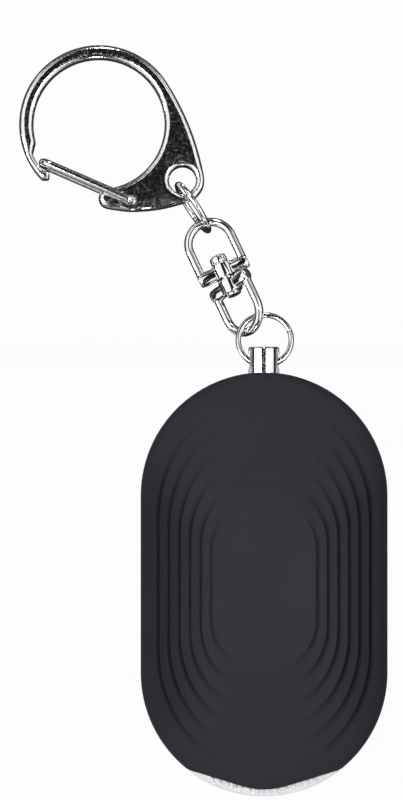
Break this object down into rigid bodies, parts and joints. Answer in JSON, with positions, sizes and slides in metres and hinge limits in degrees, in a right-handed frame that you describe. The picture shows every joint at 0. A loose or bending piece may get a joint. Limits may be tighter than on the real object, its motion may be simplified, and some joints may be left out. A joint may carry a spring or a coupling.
{
  "type": "personal safety alarm",
  "caption": "Pull-pin personal alarm with a stepped oval front, a torch window, a side button, a pin with a ring, a riveted swivel, a link ring and a snap hook.",
  "frame": {"origin": "centre of the housing's flat back face, on which the alarm lies", "axes": "+Z out of the stepped front face, +Y along the body towards the pull pin and the hook, +X towards the side button"},
  "size_m": [0.0555, 0.1131, 0.019],
  "materials": {
    "shell_charcoal": "soft-touch matte",
    "lens_clear": "frosted clear plastic with small prisms",
    "button_black": "matte",
    "switch_black": "satin",
    "lamp_epoxy": "clear epoxy",
    "board_green": "solder mask",
    "inner_plastic": "matte",
    "brass_disc": "rolled",
    "ceramic_grey": "silvered ceramic",
    "lead_wire": "insulated wire",
    "coil_ferrite": "ferrite and enamelled wire",
    "chip_epoxy": "moulded epoxy",
    "cell_steel": "nickel-plated",
    "contact_nickel": "nickel-plated spring strip",
    "screw_steel": "zinc-plated",
    "pin_plastic": "moulded",
    "cap_chrome": "polished",
    "ring_nickel": "bright nickel",
    "hook_gunmetal": "dark nickel"
  },
  "bodies": {
    "housing": {"front_shell": "shell_charcoal", "rear_shell": "shell_charcoal", "led_lens": "lens_clear", "lamp_board": "board_green", "led_lamps": "lamp_epoxy", "tact_switch": "switch_black", "sound_chamber": "inner_plastic", "siren_disc": "brass_disc", "siren_ceramic": "ceramic_grey", "siren_leads": "lead_wire", "circuit_board": "board_green", "boost_coil": "coil_ferrite", "control_chip": "chip_epoxy", "battery_cells": "cell_steel", "battery_cradle": "inner_plastic", "battery_contact_plus": "contact_nickel", "battery_leaf_minus": "contact_nickel", "lamp_leads": "lead_wire", "housing_screws": "screw_steel", "pin_socket": "switch_black", "socket_wiper": "contact_nickel"},
    "button": {"led_button": "button_black", "switch_plunger": "inner_plastic"},
    "pin": {"pull_pin": "pin_plastic", "pin_cap": "cap_chrome"},
    "ring": {"pin_ring": "ring_nickel"},
    "swivel_base": {"swivel_lower": "ring_nickel", "swivel_rivet": "ring_nickel"},
    "swivel_head": {"swivel_upper": "ring_nickel"},
    "link": {"link_ring": "ring_nickel"},
    "hook": {"snap_hook": "hook_gunmetal"},
    "gate": {"hook_gate": "hook_gunmetal"}
  },
  "joints": [
    {"name": "button_press", "type": "slide", "parent": "housing", "child": "button", "axis": [-1, 0, 0], "range_m": [0, 0.0004], "stiffness_N_per_m": 2500},
    {"name": "pin_pull", "type": "slide", "parent": "housing", "child": "pin", "axis": [0, 1, 0], "range_m": [0, 0.02]},
    {"name": "ring_tilt", "type": "hinge", "parent": "pin", "child": "ring", "pos_m": [0, 0.03325, 0.0095], "axis": [1, 0, 0], "range_deg": [-60, 100]},
    {"name": "loop_run", "type": "hinge", "parent": "ring", "child": "swivel_base", "pos_m": [0.00015, 0.03663, 0.0084], "axis": [0, 0.309, 0.9511], "range_deg": [-80, 30]},
    {"name": "swivel_turn", "type": "hinge", "parent": "swivel_base", "child": "swivel_head", "pos_m": [-0.00559, 0.04608, 0.00589], "axis": [-0.4118, 0.8831, -0.2249], "continuous": true},
    {"name": "link_swing", "type": "hinge", "parent": "swivel_head", "child": "link", "pos_m": [-0.0092, 0.05428, 0.00382], "axis": [0.8258, 0.5465, -0.1392], "range_deg": [-60, 60]},
    {"name": "hook_swing", "type": "hinge", "parent": "link", "child": "hook", "pos_m": [-0.013, 0.05994, 0.00352], "axis": [0, 0.1011, 0.9949], "range_deg": [-60, 30]},
    {"name": "gate_swing", "type": "hinge", "parent": "hook", "child": "gate", "pos_m": [-0.02, 0.05762, 0.00375], "axis": [0, -0.1011, -0.9949], "range_deg": [0, 32], "stiffness_Nm_per_rad": 0.02}
  ]
}
